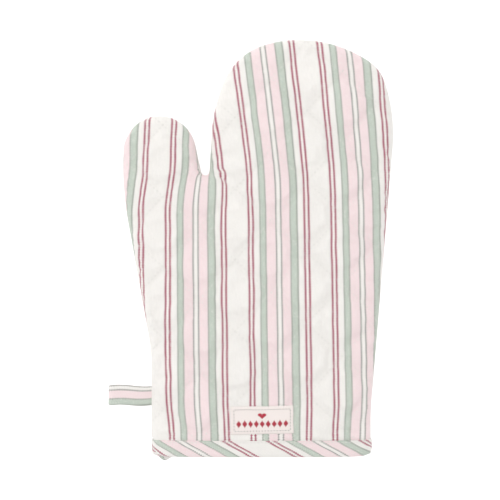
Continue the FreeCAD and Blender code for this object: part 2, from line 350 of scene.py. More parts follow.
def quilt_lines(step):
    """Every quilted line as plan points at a step, long enough to cross the mitt."""
    lines = []
    for angle, pitch in QUILT_FAMILIES:
        way = np.array([math.cos(math.radians(angle)), math.sin(math.radians(angle))])
        side = np.array([-way[1], way[0]])
        for number in range(-9, 10):
            travel = np.arange(-330, 330, step)
            line = QUILT_CROSS + np.outer(travel, way) + side * number * pitch
            line = line - np.outer(wander(line) @ side, side)
            lines.append(line)
    return lines


def from_quilting(points):
    """Distance of plan points from the nearest quilted line of either family."""
    moved = points + wander(points) - QUILT_CROSS
    gaps = []
    for angle, pitch in QUILT_FAMILIES:
        side = np.array([-math.sin(math.radians(angle)), math.cos(math.radians(angle))])
        places = moved @ side / pitch
        gaps.append(np.abs(places - np.round(places)) * pitch)
    return np.minimum(*gaps)


def along_line(corners, step):
    """Points along a line of straight runs, at about an even step."""
    line = [np.array(corners[0])]
    for first, second in zip(np.array(corners), np.array(corners[1:])):
        count = max(1, round(np.linalg.norm(second - first) / step))
        line.extend(first + (second - first) * part / count for part in range(1, count + 1))
    return np.array(line)


def crease_lines(step):
    """Each crease with a line close on both sides of it."""
    lines = []
    for corners, _, _ in CREASES:
        line = along_line(corners, step)
        way = line[-1] - line[0]
        side = np.array([-way[1], way[0]]) / np.linalg.norm(way)
        lines.extend(line + side * gap for gap in (-0.8, 0.0, 0.8))
    return lines


def from_crease(points, corners):
    """How far plan points are across a crease, signed, the way across, and how strong it is beside them."""
    line = along_line(corners, 0.3)
    number = nearest(line, points)
    way = line[-1] - line[0]
    side = np.array([-way[1], way[0]]) / np.linalg.norm(way)
    gap = points - line[number]
    across = np.linalg.norm(gap, axis=1) * np.sign(gap @ side)
    strength = 1 - smooth(number / len(line))
    past = (points - line[0]) @ way < -1.5 * np.linalg.norm(way)
    return across, side, np.where(past, 0, strength)


class Cut:
    """One panel's cloth, laid out flat: its points, triangles and how deep each lies from the seam."""

    def __init__(self, step, rim_round):
        outline, out = walk_outline(step)
        fine, fine_out = walk_outline(0.25)
        self.fine, self.fine_out = fine, fine_out
        rows = 6
        depths = [rim_round * (1 - math.cos(math.radians(90 * row / rows))) for row in range(rows + 1)]
        points, edges = [], []

        def chain(line):
            """Adds a line of points joined one to the next, and returns their numbers."""
            first = len(points)
            points.extend(line)
            numbers = list(range(first, len(points)))
            edges.extend(zip(numbers, numbers[1:]))
            return numbers

        rims = [chain(outline - out * depth) for depth in depths]
        left, right = points[rims[-1][0]], points[rims[-1][-1]]
        count = int((right[0] - left[0]) / step)
        hem = chain([(left[0] + (right[0] - left[0]) * part / count, HEM) for part in range(1, count)])
        border = [row[0] for row in rims] + hem + [row[-1] for row in reversed(rims)]
        edges.extend(zip(border, border[1:]))
        inner = outline - out * depths[-1]
        fixed = [np.array(points)]
        _, along, _ = fold_of_thumb()
        split = crotch() + np.outer(np.arange(-140, 0, step), along)
        for line in [split, *crease_lines(step / 2), *quilt_lines(step)]:
            depth, inside = self.depth_of(line)
            kept = inside & (depth > 0.5) & (line[:, 1] > HEM + 0.5)
            run = []
            for point, keep in zip(line, kept):
                if keep:
                    run.append(point)
                if (not keep or point is line[-1]) and run:
                    chain(run)
                    fixed.append(np.array(run))
                    run = []
        fixed = np.concatenate(fixed)
        grid = []
        low, high = inner.min(axis=0), inner.max(axis=0)
        for row, y in enumerate(np.arange(low[1] + step, high[1], step * 0.866)):
            shift = step / 2 * (row % 2)
            grid.extend((x + shift, y) for x in np.arange(low[0], high[0], step))
        grid = np.array(grid)
        depth, inside = self.depth_of(grid)
        grid = grid[inside & (depth > depths[-1] + 0.6 * step)]
        gaps = np.linalg.norm(fixed[nearest(fixed, grid)] - grid, axis=1)
        points.extend(grid[gaps > 0.62 * step])
        laid = geometry.delaunay_2d_cdt([Vector(point) for point in points], edges, [], 1, 1e-4)
        self.plan = np.array([tuple(point) for point in laid[0]])
        self.triangles = np.array(laid[2])
        self.depth, _ = self.depth_of(self.plan)
        self.out = fine_out[nearest(fine, self.plan)]
        turn = crossed(self.plan, self.triangles)
        self.triangles[turn < 0] = self.triangles[turn < 0][:, ::-1]
        self.triangles = self.triangles[np.abs(turn) > 1e-7]
        self.quilt_gap = from_quilting(self.plan)
        self.sides = np.unique(np.sort(sides_of(self.triangles), axis=1), axis=0)

    def depth_of(self, points):
        """How far plan points lie in from the seam, and whether they are inside it."""
        number = nearest(self.fine, points)
        depth = ((self.fine[number] - points) * self.fine_out[number]).sum(axis=1)
        return np.maximum(depth, 0), depth > 0

    def relax(self, values, rounds, held=None):
        """Evens out values over the cloth, a round at a time."""
        values = np.array(values, float)
        kept = values.copy()
        first, second = self.sides.T
        count = np.bincount(self.sides.ravel(), minlength=len(values))
        count = count.reshape(-1, *[1] * (values.ndim - 1))
        for _ in range(rounds):
            total = np.zeros_like(values)
            np.add.at(total, first, values[second])
            np.add.at(total, second, values[first])
            values = 0.5 * values + 0.5 * total / np.maximum(count, 1)
            if held is not None:
                values[held] = kept[held]
        return values


def vertex_normals(points, triangles):
    """Unit normals of a triangle mesh at its points."""
    faces = crossed(points, triangles)
    normals = np.zeros_like(points)
    for corner in range(3):
        np.add.at(normals, triangles[:, corner], faces)
    return unit(normals)


# ---------------------------------------------------------------- the shape of a panel


def sizes():
    """The mitt's sizes, as the scene holds them."""
    return bpy.context.scene.mitt_sizes


@functools.cache
def cut():
    """The cut that both panels share, made once."""
    return Cut(sizes().cloth_step / MM, sizes().rim_round / MM)


def lift(depth):
    """How far the outer face stands from the seam's level at a depth in from the seam, before quilting."""
    radius, crown, reach = sizes().rim_round / MM, sizes().crown / MM, sizes().crown_reach / MM
    rounding = radius * np.sqrt(1 - (1 - np.clip(depth / radius, 0, 1)) ** 2)
    return rounding + crown * (1 - (1 - np.clip(depth / reach, 0, 1)) ** 2)


def hem_rise(x, front):
    """How far the cuff's edge is above the hem at an X; front is 1 on the front and 0 on the back."""
    right = BINDING_BOX[1][0]
    corners = np.exp(-(x - CUFF_LEFT) / 3.0) + np.exp(-(right - x) / 2.2)
    return HEM_RISE * front + CORNER_RISE * corners


def off_binding(points, reach):
    """Nothing under the binding, rising to all of it a reach above."""
    return smooth((points[:, 1] - BINDING_EDGE) / reach)


def under_label(points):
    """How far inside the label's edge plan points are; below nothing outside it."""
    middle = LABEL_BOX.mean(axis=0)[:2]
    along = np.array([math.cos(LABEL_TURN), math.sin(LABEL_TURN)])
    place = points - middle
    sideways, up = place @ along, place @ np.array([-along[1], along[0]])
    return np.minimum(LABEL_WIDE / 2 - np.abs(sideways), LABEL_HIGH / 2 - np.abs(up))


def drawn_in(laid):
    """How far points are pulled in from the seam, and further under the left end of the binding."""
    pull = SEAM_PULL * np.exp(-laid.depth / SEAM_PULL_DEPTH)
    beside_left = smooth((-60.0 - laid.plan[:, 0]) / 6.0) * np.exp(-laid.depth / 4.0)
    return pull + BINDING_INSET * beside_left * (1 - off_binding(laid.plan, 1.6))


def creased(laid):
    """How much deeper the creases make the front's cloth, and how far they slide it in plan."""
    deeper, slid = np.zeros(len(laid.plan)), np.zeros_like(laid.plan)
    for corners, flap, _ in CREASES:
        gap, way, strength = from_crease(laid.plan, corners)
        over = gap * flap
        deeper += strength * (CREASE_DEPTH * hump(over, -0.6, 1.1) - CREASE_ROLL * hump(over, 1.2, 1.5))
        slid -= (CREASE_SLIDE * strength * hump(over, 0.6, 1.2))[:, None] * way * flap
    return deeper, slid


def press_label(points, laid):
    """Flattens the front's cloth where the label is sewn on it."""
    pressed = smooth((under_label(laid.plan) + 1.2) / 1.4)
    evened = laid.relax(points, LABEL_EVENED)[:, 2] - LABEL_PRESS
    points[:, 2] += pressed * (evened - points[:, 2])
    return points


@functools.cache
def panel_shape(side):
    """The outer face of a panel (mm): crowned, drawn in at its quilted lines, and puffed between them."""
    laid = cut()
    facing = 1 if side == "front" else -1
    radius = sizes().rim_round / MM
    height = laid.relax(lift(laid.depth), 30, held=laid.depth < radius + 1)
    above_binding = off_binding(laid.plan, 8.0)
    flat = smooth(laid.depth / (2 * radius)) * above_binding
    groove, width = sizes().groove / MM, sizes().groove_width / MM
    valley = groove * hump(laid.quilt_gap, 0, width) * (0.3 * above_binding + 0.7 * flat)
    uneven = UNEVEN * ripple(laid.plan, 26.0, 1.0 + facing) * flat
    place = laid.plan - laid.out * drawn_in(laid)[:, None]
    if side == "front":
        deeper, slid = creased(laid)
        valley += deeper
        place += slid
    rise = HEM_GATHER + hem_rise(laid.plan[:, 0], side == "front")
    place[:, 1] += rise * np.exp(-(laid.plan[:, 1] - HEM) / 5.0)
    level = height + uneven - valley - BINDING_STEP * (1 - off_binding(laid.plan, 1.6))
    low = BACK_LOW + BACK_LIFT * (1 - above_binding)
    if side == "back":
        level = SEAM_LEVEL - low - soft_ramp(SEAM_LEVEL - low - level * BACK_SHARE, BACK_BEND)
    points = np.column_stack([place, SEAM_LEVEL + facing * level])
    points = puff(points, laid, side)
    if side == "front":
        return press_label(points, laid)
    points[:, 2] = np.maximum(points[:, 2], low)
    return points


def puff(points, laid, side):
    """Lets the cloth swell between its stitched lines by a short simulation, and caps how far it moves."""
    mesh = bpy.data.meshes.new("puff")
    mesh.from_pydata((points * MM).tolist(), [], facing_out(laid.triangles, side).tolist())
    piece = bpy.data.objects.new("puff", mesh)
    bpy.context.scene.collection.objects.link(piece)
    pins = piece.vertex_groups.new(name="pins")
    held = (laid.depth < 1.2) | (laid.quilt_gap < 0.6) | (laid.plan[:, 1] < BINDING_EDGE + 1)
    pins.add(np.flatnonzero(held).tolist(), 1.0, "REPLACE")
    modifier = piece.modifiers.new("Cloth", "CLOTH")
    cloth = modifier.settings
    cloth.quality = 6
    cloth.mass = 0.15
    cloth.tension_stiffness = 15
    cloth.compression_stiffness = 15
    cloth.shear_stiffness = 8
    cloth.bending_stiffness = 0.2
    cloth.air_damping = 2
    cloth.vertex_group_mass = "pins"
    cloth.shrink_min = -0.035
    cloth.use_pressure = True
    cloth.uniform_pressure_force = PUFF_PRESSURE
    cloth.effector_weights.gravity = 0
    modifier.collision_settings.use_collision = False
    scene = bpy.context.scene
    modifier.point_cache.frame_start, modifier.point_cache.frame_end = 1, PUFF_FRAMES
    for number in range(1, PUFF_FRAMES + 1):
        scene.frame_set(number)
    seen = piece.evaluated_get(bpy.context.evaluated_depsgraph_get()).to_mesh()
    moved = np.empty(len(seen.vertices) * 3)
    seen.vertices.foreach_get("co", moved)
    moved = moved.reshape(-1, 3) / MM
    scene.frame_set(1)
    bpy.data.objects.remove(piece)
    bpy.data.meshes.remove(mesh)
    shift = moved - points
    if not np.isfinite(shift).all():
        raise RuntimeError(f"the {side} panel's cloth flew apart")
    length = np.linalg.norm(shift, axis=1, keepdims=True)
    return points + shift * np.minimum(1, PUFF_CAP / np.maximum(length, 1e-9))


# ---------------------------------------------------------------- where the stripes fall


def wrap_extra(depth):
    """How much more cloth than plan there is out to a depth on the rounded rim."""
    radius = sizes().rim_round / MM
    share = np.clip(1 - depth / radius, 0, 1)
    return radius * (np.arcsin(share) - share)


def stripe_drift(x, y, thumb):
    """How far a stripe has moved sideways from its place at the wrist: it tilts all the way up, is drawn in
    at the cuff, leans over on the fingers and bends the other way on the thumb."""
    tilt = -(0.012 + 0.0001 * x) * (y - WRIST_Y)
    lean = -(0.11 - 0.0006 * x) * soft_ramp(y - 50.6, 6.0)
    beside_thumb = -0.045 * soft_ramp(y - 57.0, 4.0) * smooth((-12.0 - x) / 16.0)
    bend = 3.9 * smooth((y - 24.0) / 40.0) + 1.2 * smooth((y - 64.0) / 34.0)
    gather = 0.03 * smooth((-108.0 - y) / 25.0) * (12.7 - x)
    below_crotch = 1.5 * hump(x, -24.0, 12.0) * hump(y, 50.0, 18.0) * (y < 56.0)
    wrist = 0.35 - 0.7 * smooth((-50.0 - x) / 10.0) * hump(y, -65.0, 30.0)
    return tilt + gather + wrist + below_crotch + np.where(thumb, bend, lean + beside_thumb)


def panel_cloth(side):
    """Cloth coordinates of a panel's points (mm): across the stripes, and along them."""
    laid = cut()
    x, y = laid.plan.T
    share = smooth((thumb_side(laid.plan) + 8) / 16) * (1 - smooth((y - 56.0) / 8.0) * (x > crotch()[0]))
    eased = 1 - 0.8 * (1 - share) * smooth((y - 60.0) / 30.0) * smooth((30.0 - x) / 30.0)
    spread = laid.plan + laid.out * (eased * wrap_extra(laid.depth))[:, None]
    x, y = spread.T
    drift = (1 - share) * stripe_drift(x, y, False) + share * stripe_drift(x, y, True)
    across = x - drift - FIRST_LINE_X
    if side == "front":
        for corners, flap, step in CREASES:
            gap, _, strength = from_crease(laid.plan, corners)
            across -= step * strength * (gap * flap > 0.2) * np.exp(-np.abs(gap) / 7.0)
    if side == "back":
        across = 0.97 * REPEAT - across
    return np.column_stack([across, y, np.zeros(len(x))])


# ---------------------------------------------------------------- making and finishing pieces


def made_piece(name, points, faces, cloth=None, normals=None):
    """A mesh object from points in mm, shaded smooth, with cloth coordinates and normals where given."""
    mesh = bpy.data.meshes.new(name)
    mesh.from_pydata((np.asarray(points) * MM).tolist(), [], [list(face) for face in faces])
    mesh.validate()
    mesh.polygons.foreach_set("use_smooth", [True] * len(mesh.polygons))
    if cloth is not None:
        field = mesh.attributes.new("cloth", "FLOAT_VECTOR", "POINT")
        field.data.foreach_set("vector", (np.asarray(cloth) * MM).ravel())
    if normals is not None:
        mesh.normals_split_custom_set_from_vertices(normals.tolist())
    piece = bpy.data.objects.new(name, mesh)
    bpy.context.scene.collection.objects.link(piece)
    return piece


def slab(outer, inner, triangles):
    """A closed slab between two faces of the same cut: points and faces."""
    count = len(outer)
    seen = dict.fromkeys((first, second) for first, second in sides_of(triangles).tolist())
    walls = [
        (second, first, first + count, second + count)
        for first, second in seen if (second, first) not in seen
    ]
    points = np.concatenate([outer, inner])
    faces = triangles.tolist() + (triangles[:, ::-1] + count).tolist() + walls
    return points, faces


def used_only(faces, *fields):
    """Drops the points that no face uses, from the faces and from each field over the points."""
    used = np.unique(np.concatenate([np.asarray(face).ravel() for face in faces]))
    renumber = np.full(len(fields[0]), -1)
    renumber[used] = np.arange(len(used))
    faces = [[int(renumber[corner]) for corner in face] for face in faces]
    return faces, *(field[used] for field in fields)


def bend_fingers(piece):
    """Bakes the place of a piece of the hand and fingers into its mesh."""
    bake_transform(piece)


def bend_thumb(piece):
    """Works out the ends of the thumb's fold, which nothing uses, and bakes the place of a piece of the thumb
    into its mesh.
    """
    middle, _, across = fold_of_thumb()
    reach = across * thumb_reach()
    start = Vector((*(middle - reach) * MM, SEAM_LEVEL * MM))
    end = Vector((*(middle + reach) * MM, SEAM_LEVEL * MM))
    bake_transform(piece)


# The zones that each layer is made in: the function that bakes a piece of it, and the frame's nodes that it
# stands for.
ZONES = {"hand": (bend_fingers, ("hand", "fingers")), "thumb": (bend_thumb, ("thumb",))}


def stand_for(piece, zone, kind):
    """Bakes a piece with its zone's function, and hides the frame's nodes of its kind there."""
    bend, bodies = ZONES[zone]
    bend(piece)
    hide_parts(*[f"{kind}_{body}" for body in bodies])


def finish(piece, material):
    """Gives a piece its material."""
    piece.data.materials.append(material)
    return piece


def zone_triangles(zone):
    """The cut's triangles that belong to the hand and fingers, or to the thumb."""
    laid = cut()
    inside = in_thumb(laid.plan[laid.triangles].mean(axis=1))
    return laid.triangles[inside if zone == "thumb" else ~inside]


def area_of(points, triangles):
    """The area of a triangle mesh."""
    return np.linalg.norm(crossed(points, triangles), axis=1).sum() / 2


def panel_layer(side, zone, layer, material):
    """One layer of a panel over one zone, between two depths under the outer face."""
    laid = cut()
    shape, outward = surface(side).shape, surface(side).normals
    fabric, wadding, lining = (getattr(sizes(), name) / MM for name in ("fabric", "wadding", "lining"))
    top, bottom = {
        "outer": (0.0, fabric),
        "wadding": (fabric, fabric + wadding),
        "lining": (fabric + wadding, fabric + wadding + lining),
    }[layer]
    inward = unit(-laid.relax(outward, 0 if layer == "outer" else 6))
    squeeze = SQUEEZED + (1 - SQUEEZED) * off_binding(laid.plan, 10.0)[:, None]
    triangles = facing_out(zone_triangles(zone), side)
    points, faces = slab(shape + inward * top * squeeze, shape + inward * bottom * squeeze, triangles)
    cloth = np.tile(panel_cloth(side), (2, 1))
    faces, points, cloth, normals = used_only(faces, points, cloth, np.concatenate([-inward, inward]))
    piece = made_piece(f"{side}_{layer}_{zone}_cloth", points, faces, cloth, normals)
    finish(piece, material)
    stand_for(piece, zone, f"{side}_{layer}")
    if layer == "wadding":
        return
    area_of(shape, triangles) * MM**2


class Surface:
    """A panel's outer face, to lay threads and tapes on."""

    def __init__(self, side):
        laid = cut()
        self.shape = panel_shape(side)
        self.triangles = laid.triangles
        self.normals = vertex_normals(self.shape, facing_out(laid.triangles, side))
        self.flat = laid.plan
        flat = np.column_stack([laid.plan, np.zeros(len(laid.plan))])
        self.tree = BVHTree.FromPolygons([Vector(point) for point in flat], laid.triangles.tolist())

    def over(self, points, raised=0.0):
        """The places and outward ways on the face over plan points, raised off it."""
        places, normals = [], []
        for x, y in points:
            hit, _, face, _ = self.tree.find_nearest((x, y, 0))
            corners = self.triangles[face]
            first, second, third = self.flat[corners]
            solve = np.array([second - first, third - first]).T
            share = np.linalg.solve(solve, np.array([hit.x, hit.y]) - first)
            weights = np.array([1 - share.sum(), *share])
            normal = weights @ self.normals[corners]
            places.append(weights @ self.shape[corners])
            normals.append(normal / np.linalg.norm(normal))
        places, normals = np.array(places), np.array(normals)
        return places + normals * raised, normals


@functools.cache
def surface(side):
    """Each panel's surface, made once."""
    return Surface(side)


def threads(name, starts, ends, ups, radius, material, sink=0.25):
    """Short stitches, each a thread that rises out of the cloth and goes back into it."""
    starts, ends, ups = (np.asarray(part, float) for part in (starts, ends, ups))
    side = unit(np.cross(unit(ends - starts), ups))
    stages = [
        (0.0, -sink, 0.5), (0.16, 0.35 * radius, 0.95), (0.5, 0.7 * radius, 1.0),
        (0.84, 0.35 * radius, 0.95), (1.0, -sink, 0.5),
    ]
    sides = 6
    rings = []
    for share, rise, girth in stages:
        middle = starts + (ends - starts) * share + ups * rise
        for corner in range(sides):
            turn = 2 * math.pi * corner / sides
            rings.append(middle + radius * girth * (math.cos(turn) * side + math.sin(turn) * ups))
    points = np.stack(rings, axis=1)
    count = len(stages) * sides
    faces = ring_faces(len(stages), sides)
    every = [tuple(corner + number * count for corner in face)
             for number in range(len(starts)) for face in faces]
    piece = made_piece(name, points.reshape(-1, 3), every)
    return finish(piece, material)


def swept(rings):
    """The points and faces of a closed skin over rings of points."""
    return np.concatenate(rings), ring_faces(len(rings), len(rings[0]))


# ---------------------------------------------------------------- shader helpers


class Shade:
    """A number in a shader. Sums on it add Math nodes."""

    def __init__(self, recipe, socket):
        self.recipe, self.socket = recipe, socket

    def math(self, operation, *values):
        """Adds one Math node with this number first."""
        inputs = dict(enumerate([self, *values]))
        made = self.recipe.node("Math", {"operation": operation}, inputs)
        return Shade(self.recipe, made.outputs[0])

    def __add__(self, other):
        return self.math("ADD", other)

    def __sub__(self, other):
        return self.math("SUBTRACT", other)

    def __mul__(self, other):
        return self.math("MULTIPLY", other)

    def __truediv__(self, other):
        return self.math("DIVIDE", other)

    def __neg__(self):
        return self.math("MULTIPLY", -1)

    def __rsub__(self, other):
        return (-self) + other

    def __gt__(self, other):
        return self.math("GREATER_THAN", other)

    def __lt__(self, other):
        return self.math("LESS_THAN", other)

    __radd__, __rmul__ = __add__, __mul__

    def fract(self):
        """The part after the point."""
        return self.math("FRACT")

    def wave(self, length):
        """A sine wave of a length."""
        return (self * (2 * math.pi / length)).math("SINE")


class Recipe:
    """A material's node tree, with one method for any node."""

    def __init__(self, name):
        self.material = bpy.data.materials.new(name)
        self.material.use_nodes = True
        self.tree = self.material.node_tree
        self.tree.nodes.clear()

    def node(self, kind, settings=None, inputs=None):
        """Adds a node, with its settings first and then the values or links of its sockets."""
        made = self.tree.nodes.new("ShaderNode" + kind)
        for key, value in (settings or {}).items():
            if key == "stops":
                ramp = made.color_ramp
                while len(ramp.elements) < len(value):
                    ramp.elements.new(1.0)
                for element, (place, shade) in zip(ramp.elements, value):
                    element.position, element.color = place, shade
            elif key == "interpolation":
                made.color_ramp.interpolation = value
            else:
                setattr(made, key, value)
        for key, value in (inputs or {}).items():
            if isinstance(value, Shade):
                self.tree.links.new(value.socket, made.inputs[key])
            else:
                made.inputs[key].default_value = value
        return made

    def number(self, kind, output, settings=None, inputs=None):
        """Adds a node and returns one of its outputs."""
        return Shade(self, self.node(kind, settings, inputs).outputs[output])

    def mix(self, factor, first, second, blend="MIX"):
        """Mixes two colours."""
        settings = {"data_type": "RGBA", "blend_type": blend}
        return self.number("Mix", 2, settings, {0: factor, 6: first, 7: second})

    def noise(self, vector, scale, detail=2.0):
        """A noise over a vector, about 0.5."""
        inputs = {"Vector": vector, "Scale": scale, "Detail": detail}
        return self.number("TexNoise", "Fac", None, inputs)

    def toned(self, base, tone, low, high, dark):
        """A colour that is darkened where a tone is low, and whole where it is high."""
        shade = self.number("MapRange", 0, None, {0: tone, 1: low, 2: high, 3: dark, 4: 1.0})
        grey = self.number("CombineColor", 0, None, {0: shade, 1: shade, 2: shade})
        return self.mix(1.0, base, grey, "MULTIPLY")

    def finish(self, colour_in, roughness, height, distance, sheen=0.25):
        """Ends the recipe in a cloth-like surface, with a bump from a height in metres."""
        bump = self.number("Bump", "Normal", None, {"Strength": 1.0, "Distance": distance, "Height": height})
        shader = self.node("BsdfPrincipled", None, {
            "Base Color": colour_in, "Roughness": roughness, "Normal": bump,
            "Sheen Weight": sheen, "Sheen Roughness": 0.6, "Specular IOR Level": 0.25,
        })
        self.node("OutputMaterial", None, {"Surface": Shade(self, shader.outputs[0])})
        return self.material


def colours():
    """The mitt's colours, as the scene holds them."""
    return bpy.context.scene.mitt_colours


def axes_mm(recipe, vector):
    """A vector brought from metres to mm, and its three parts."""
    scaled = recipe.number("VectorMath", 0, {"operation": "SCALE"}, {0: vector, "Scale": 1000.0})
    parts = recipe.node("SeparateXYZ", None, {0: scaled})
    return scaled, *(Shade(recipe, output) for output in parts.outputs)


def cloth_axes(recipe):
    """The cloth coordinates in mm: the vector, and the ways across and along the stripes."""
    return axes_mm(recipe, recipe.number("Attribute", "Vector", {"attribute_name": "cloth"}))[:3]


@functools.cache
def striped_cotton():
    """Yarn-dyed twill: stripes with edges toothed by the twill, slubs and pale flecks."""
    recipe = Recipe("striped_cotton")
    vector, across, along = cloth_axes(recipe)
    rib_pitch, teeth, fray = 1.8, 2.2, 0.4
    rib = ((along / rib_pitch + across / 3.0).fract() - 0.5).math("ABSOLUTE")
    fleck = recipe.noise(vector, 0.8, 3.0)
    place = ((across + (rib - 0.25) * teeth + (fleck - 0.5) * fray) / REPEAT).fract()
    stops = [(start / REPEAT, tuple(getattr(colours(), name))) for start, name in STRIPES]
    stripes = recipe.number("ValToRGB", "Color", {"interpolation": "CONSTANT", "stops": stops}, {0: place})
    bare = (fleck > 0.6) * 0.35 + (rib > 0.38) * 0.3
    tinted = recipe.mix(bare, stripes, tuple(colours().ground))
    drawn = recipe.number("CombineXYZ", 0, None, {0: across * 1.7, 1: along * 0.16, 2: 0.0})
    slub = recipe.noise(drawn, 1.0, 3.0)
    cloudy = recipe.noise(vector, 0.045, 2.0)
    tone = slub * 0.5 + fleck * 0.35 + cloudy * 0.35
    final = recipe.toned(tinted, tone, 0.40, 0.80, 0.90)
    weave = across.wave(0.62) * along.wave(0.7) * 0.3 + rib * 0.9 + fleck * 0.8
    return recipe.finish(final, 0.86, weave, 0.00016)


@functools.cache
def plain_cloth(name, colour_name, bump=0.00012, scale=0.55):
    """Plain woven cloth or tape of one colour."""
    recipe = Recipe(name)
    scaled, x, y, z = axes_mm(recipe, recipe.number("TexCoord", "Object"))
    fleck = recipe.noise(scaled, 0.9, 3.0)
    weave = x.wave(2 * scale) * (y + z).wave(2 * scale) * 0.5 + fleck
    final = recipe.toned(tuple(getattr(colours(), colour_name)), fleck, 0.3, 0.7, 0.88)
    return recipe.finish(final, 0.9, weave, bump)


@functools.cache
def thread_finish():
    """Off-white sewing thread."""
    return plain_cloth("sewing_thread", "thread", 0.0001, 0.2)


@functools.cache
def label_twill():
    """Cream twill, its ribs on the slant."""
    recipe = Recipe("label_twill")
    vector, across, along = cloth_axes(recipe)
    rib = (across + along * 0.9).wave(0.95)
    fleck = recipe.noise(vector, 1.1, 3.0)
    final = recipe.toned(tuple(colours().label), rib * 0.5 + fleck, 0.0, 1.1, 0.93)
    return recipe.finish(final, 0.8, rib * 0.6 + fleck, 0.00012)


# ---------------------------------------------------------------- operators


class SewPanels(bpy.types.Operator):
    """Makes the outer fabric, wadding and lining of both panels"""

    bl_idname = "mitt.panels"
    bl_label = "Panels"

    def execute(self, context):
        materials = {
            "outer": striped_cotton(),
            "wadding": plain_cloth("wadding", "wadding", 0.0004, 2.0),
            "lining": plain_cloth("lining_cotton", "lining"),
        }
        for side in ("front", "back"):
            for zone in ZONES:
                for layer, material in materials.items():
                    panel_layer(side, zone, layer, material)
        return {"FINISHED"}


class StitchQuilting(bpy.types.Operator):
    """Sews the diamonds of stitches through both panels"""

    bl_idname = "mitt.quilting"
    bl_label = "Quilting"

    def execute(self, context):
        pitch, length = sizes().stitch_pitch / MM, sizes().stitch_length / MM
        off_seam, off_tape, off_label = 1.0, 1.2, 1.0
        lines = quilt_lines(pitch)
        starts = np.concatenate([line[:-1] for line in lines])
        ways = np.concatenate([np.diff(line, axis=0) for line in lines])
        ends = starts + ways / np.linalg.norm(ways, axis=1, keepdims=True) * length
        middles = (starts + ends) / 2
        kept = np.ones(len(starts), bool)
        for points in (starts, ends):
            depth, inside = cut().depth_of(points)
            kept &= inside & (depth > off_seam)
        kept &= middles[:, 1] > BINDING_EDGE + off_tape
        for side in ("front", "back"):
            shown = kept & (under_label(middles) < -off_label) if side == "front" else kept
            for zone in ZONES:
                mine = shown & (in_thumb(middles) == (zone == "thumb"))
                first, ups = surface(side).over(starts[mine])
                last, _ = surface(side).over(ends[mine])
                piece = threads(f"{side}_quilting_{zone}_thread", first, last, ups, QUILT_THREAD,
                                thread_finish())
                stand_for(piece, zone, f"{side}_quilting")
        return {"FINISHED"}


class CloseSeam(bpy.types.Operator):
    """Joins the panels: the stitched seam, its allowance inside and the overlocking on its edge"""

    bl_idname = "mitt.seam"
    bl_label = "Side seam"

    def execute(self, context):
        outline, out = walk_outline(2.0)
        here = in_thumb(outline - out)
        changes = [0, *(np.flatnonzero(here[1:] != here[:-1]) + 1), len(outline)]
        stretches = list(zip(changes, changes[1:]))
        for zone in ZONES:
            mine = [slice(first, last + 1) for first, last in stretches if here[first] == (zone == "thumb")]
            self.stitch(zone, [(outline[part], out[part]) for part in mine])
            self.allow(zone, [(outline[part], out[part]) for part in mine])
        return {"FINISHED"}

    def stitch(self, zone, stretches):
        """The row of stitches in the valley of the seam."""
        starts, ends = [], []
        sunk, thread_share = 0.25, 0.75
        for line, out in stretches:
            inset = line - out * (SEAM_PULL + sunk)
            starts.append(inset[:-1])
            ends.append(inset[:-1] + thread_share * np.diff(inset, axis=0))
        starts, ends = np.concatenate(starts), np.concatenate(ends)
        level = np.full((len(starts), 1), SEAM_LEVEL)
        ups = np.concatenate([out[:-1] for _, out in stretches])
        piece = threads(f"seam_stitching_{zone}_thread", np.hstack([starts, level]), np.hstack([ends, level]),
                        np.hstack([ups, 0 * level]), SEAM_THREAD, thread_finish())
        stand_for(piece, zone, "seam_stitching")

    def allow(self, zone, stretches):
        """The turned-in allowance, which waves a little, and the overlocking over its edge."""
        root, middle, edge, thick, above_hem = 4.9, 8.0, 10.4, 1.3, 14
        sway_most, sway_run = 0.7, 4.3
        section = [(root, 1), (middle, 0.9), (edge, 0.6), (edge, -0.6), (middle, -0.9), (root, -1)]
        points, faces, starts, ends, ups = [], [], [], [], []
        for line, out in stretches:
            wave = sway_most * np.sin(travelled(line) / sway_run)
            rings = []
            for (x, y), (across, up), sway in zip(line, out, wave):
                if y < HEM + above_hem:
                    continue
                ring = []
                for depth, lift_share in section:
                    share = (depth - root) / (edge - root)
                    level = SEAM_LEVEL + thick * lift_share + sway * share
                    ring.append((x - across * depth, y - up * depth, level))
                rings.append(np.array(ring))
            skin, sides = swept(rings)
            first = sum(len(part) for part in points)
            points.append(skin)
            faces.extend(tuple(corner + first for corner in face) for face in sides)
            rings = np.array(rings)
            for upper, lower, up in ((1, 2, 1.0), (4, 3, -1.0)):
                starts.append(rings[:-1, upper])
                ends.append(rings[1:, lower])
                ups.append(np.tile([0, 0, up], (len(rings) - 1, 1)))
        piece = made_piece(f"seam_allowance_{zone}_cloth", np.concatenate(points), faces)
        finish(piece, plain_cloth("allowance_cotton", "ground"))
        stand_for(piece, zone, "seam_allowance")
        piece = threads(f"seam_overlock_{zone}_thread", np.concatenate(starts), np.concatenate(ends),
                        np.concatenate(ups), SEAM_THREAD, thread_finish())
        stand_for(piece, zone, "seam_overlock")


